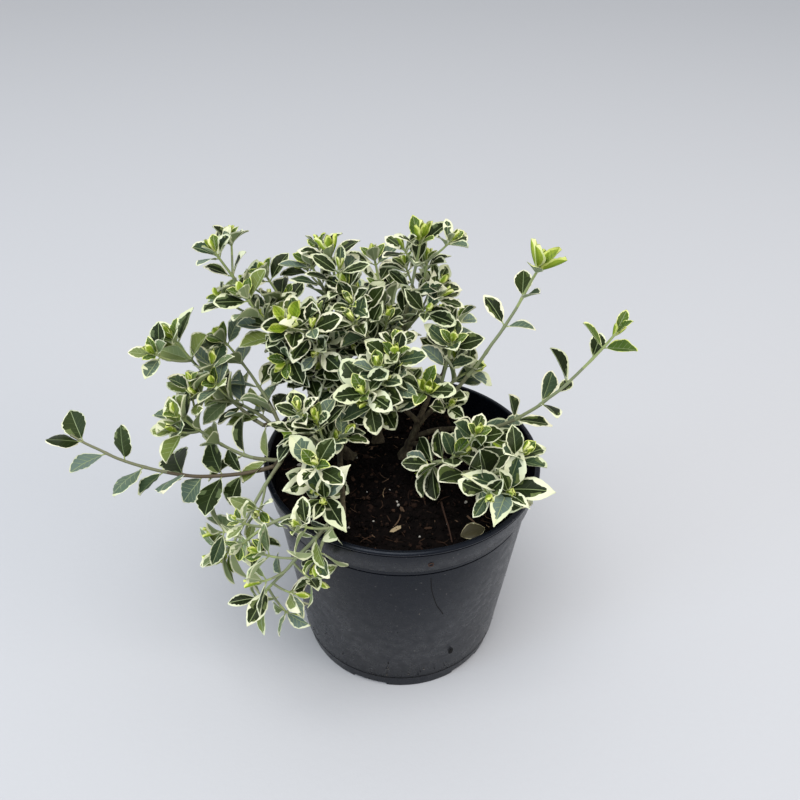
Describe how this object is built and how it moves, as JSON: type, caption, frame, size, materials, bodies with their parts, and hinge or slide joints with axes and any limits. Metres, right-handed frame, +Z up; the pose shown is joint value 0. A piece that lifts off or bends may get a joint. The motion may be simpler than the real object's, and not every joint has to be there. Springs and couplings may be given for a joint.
{
  "type": "potted wintercreeper shrub",
  "caption": "Low evergreen shrub with small cream-edged leaves, spreading and hanging shoots, in a round black nursery pot of soil.",
  "frame": {"origin": "middle of the pot's flat underside, on the ground", "axes": "+Z up; +X to the right of the front view, along the crown's longest spread; +Y to the back"},
  "size_m": [0.3748, 0.2545, 0.3122],
  "materials": {
    "pot_plastic": "moulded black plastic with a dull sheen",
    "soil": "loose dark peat and bark compost",
    "bark": "fine grey-brown bark",
    "foliage": "waxy green leaves with cream edges"
  },
  "bodies": {
    "root": {"pot": "pot_plastic", "soil": "soil", "stem_back": "bark", "stem_left": "bark", "stem_right": "bark", "bough_back": "bark", "bough_back_left": "bark", "bough_back_right": "bark", "bough_front": "bark", "bough_front_left": "bark", "bough_front_right": "bark", "bough_left": "bark", "bough_left_back": "bark", "bough_middle": "bark", "bough_right": "bark", "bough_right_high": "bark", "bough_top": "bark", "bough_top_left": "bark", "bough_top_right": "bark", "bough_upper_left": "bark", "foliage_back_left_tip": "foliage", "foliage_back_low": "foliage", "foliage_back_middle": "foliage", "foliage_back_right_tip": "foliage", "foliage_front_centre": "foliage", "foliage_front_left_hanging": "foliage", "foliage_front_left_low": "foliage", "foliage_front_left_side": "foliage", "foliage_front_low": "foliage", "foliage_front_middle": "foliage", "foliage_front_right_inner": "foliage", "foliage_front_right_tip": "foliage", "foliage_front_side": "foliage", "foliage_left_far": "foliage", "foliage_left_hanging": "foliage", "foliage_left_high": "foliage", "foliage_left_inner": "foliage", "foliage_left_middle": "foliage", "foliage_left_upper": "foliage", "foliage_middle_front": "foliage", "foliage_middle_high": "foliage", "foliage_middle_right": "foliage", "foliage_right_edge": "foliage", "foliage_right_far": "foliage", "foliage_right_inner": "foliage", "foliage_right_low": "foliage", "foliage_right_tall": "foliage", "foliage_top_front": "foliage", "foliage_top_left_back": "foliage", "foliage_top_left_front": "foliage", "foliage_top_left_tall": "foliage", "foliage_top_middle": "foliage", "foliage_top_right_side": "foliage", "foliage_top_tall": "foliage", "foliage_top_tall_back": "foliage", "foliage_top_thin": "foliage", "foliage_upper_left_back": "foliage", "foliage_upper_left_front": "foliage", "foliage_upper_left_mid": "foliage", "foliage_upper_left_tall": "foliage"}
  },
  "joints": []
}
